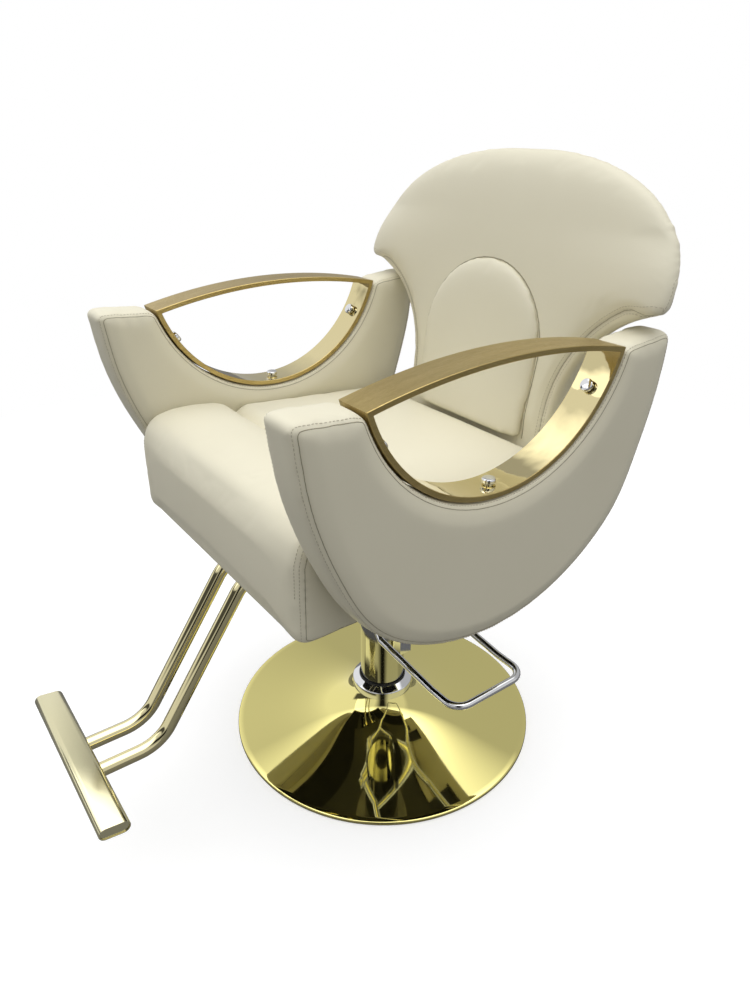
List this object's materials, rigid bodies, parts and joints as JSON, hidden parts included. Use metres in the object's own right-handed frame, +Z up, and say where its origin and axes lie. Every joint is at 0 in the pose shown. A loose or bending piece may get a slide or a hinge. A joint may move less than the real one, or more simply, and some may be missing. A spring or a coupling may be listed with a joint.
{
  "type": "hairdressing chair",
  "caption": "Hydraulic styling chair with crescent padded arms on lens-shaped gold frames, a mushroom-shaped back, a T-bar footrest and a round trumpet base.",
  "frame": {"origin": "middle of the round base on the floor plane", "axes": "+Z up along the column, -Y the way the sitter faces, +X the sitter's left side, where the pump lever comes out"},
  "size_m": [0.666, 0.9059, 0.9976],
  "materials": {
    "polished_gold": "mirror polished",
    "brushed_gold": "brushed antique",
    "chrome": "polished",
    "dark_steel": "black powder coat",
    "bright_steel": "zinc plated",
    "cast_metal": "machined casting",
    "bronze": "turned",
    "black_rubber": "matte",
    "black_cloth": "non-woven",
    "plywood": "raw",
    "cream_leather_on_wood": "smooth, satin",
    "cream_leather": "smooth, satin",
    "foam": "open cell"
  },
  "bodies": {
    "base": {"floor_plate": "dark_steel", "floor_ring": "black_rubber", "weight_disc": "dark_steel", "base_shell": "polished_gold", "base_socket": "cast_metal", "socket_bolts": "bright_steel", "socket_bush": "bronze", "thrust_washer": "bronze", "base_collar": "chrome", "collar_gasket": "black_rubber"},
    "ram": {"ram_rod": "bright_steel", "ram_piston": "cast_metal", "piston_seal": "black_rubber"},
    "carriage": {"column_tube": "chrome", "column_guide": "bronze", "pump_head": "cast_metal", "lever_bracket": "chrome", "pump_block": "cast_metal", "lever_nuts": "chrome", "seat_plate": "dark_steel", "head_bolts": "bright_steel", "frame_rails": "dark_steel", "dust_cover": "black_cloth", "seat_board": "plywood", "seat_box": "cream_leather_on_wood", "seat_foam": "foam", "seat_front_pad": "cream_leather", "seat_cushion": "cream_leather", "arm_fixings": "bright_steel", "left_arm_pad": "cream_leather", "right_arm_pad": "cream_leather", "left_arm_frame": "brushed_gold", "right_arm_frame": "brushed_gold", "left_cap_bolts": "chrome", "right_cap_bolts": "chrome", "back_pad": "cream_leather", "back_cover": "cream_leather", "lumbar_pad": "cream_leather", "back_brackets": "dark_steel", "bracket_screws": "bright_steel", "left_foot_tube": "polished_gold", "right_foot_tube": "polished_gold", "foot_bar": "brushed_gold", "foot_bar_ends": "brushed_gold", "foot_plate": "dark_steel", "foot_plate_screws": "bright_steel"},
    "lever": {"lever_rod": "chrome"},
    "plunger": {"pump_plunger": "bright_steel"}
  },
  "joints": [
    {"name": "swivel", "type": "hinge", "parent": "base", "child": "ram", "pos_m": [0, 0, 0.046], "axis": [0, 0, 1], "continuous": true},
    {"name": "seat_lift", "type": "slide", "parent": "ram", "child": "carriage", "axis": [0, 0, 1], "range_m": [0, 0.15]},
    {"name": "lever_tilt", "type": "hinge", "parent": "carriage", "child": "lever", "pos_m": [0, 0, 0.262], "axis": [0, 1, 0], "range_deg": [0, 25], "stiffness_Nm_per_rad": 12, "springref_deg": -14.32},
    {"name": "plunger_travel", "type": "slide", "parent": "carriage", "child": "plunger", "axis": [0, 0, -1], "range_m": [0, 0.026]}
  ],
  "couplings": [
    {"joint": "plunger_travel", "follows": "lever_tilt", "m_per_rad": 0.058}
  ]
}
